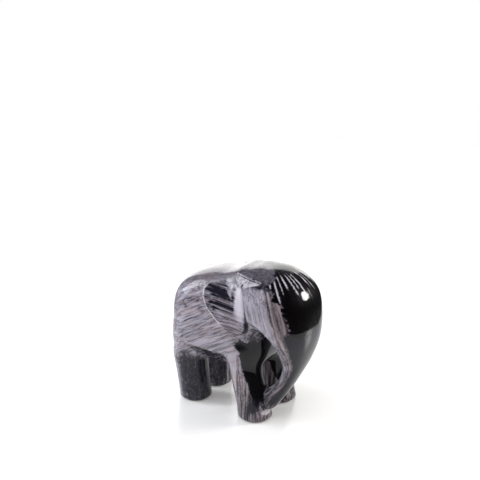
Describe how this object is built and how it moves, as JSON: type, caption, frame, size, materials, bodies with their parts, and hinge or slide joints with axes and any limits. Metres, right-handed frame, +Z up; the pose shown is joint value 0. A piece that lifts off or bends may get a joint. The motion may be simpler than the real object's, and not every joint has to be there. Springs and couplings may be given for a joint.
{
  "type": "carved wooden elephant figurine",
  "caption": "Standing elephant ornament carved from one wooden block, with high-gloss lacquer and its trunk tip joined to the front right foot; felt discs under the feet protect the shelf.",
  "frame": {"origin": "middle of the footprint box, on the surface the elephant stands on", "axes": "+X forward towards the trunk, +Y the elephant's left, +Z up"},
  "size_m": [0.0984, 0.0562, 0.098],
  "materials": {
    "lacquered_wood": "black stain with silver-grey dry-brushed streaks under high-gloss clear lacquer",
    "felt": "short-pile black felt"
  },
  "bodies": {
    "root": {"carved_body": "lacquered_wood", "foot_pad_front_left": "felt", "foot_pad_front_right": "felt", "foot_pad_rear_left": "felt", "foot_pad_rear_right": "felt"}
  },
  "joints": []
}
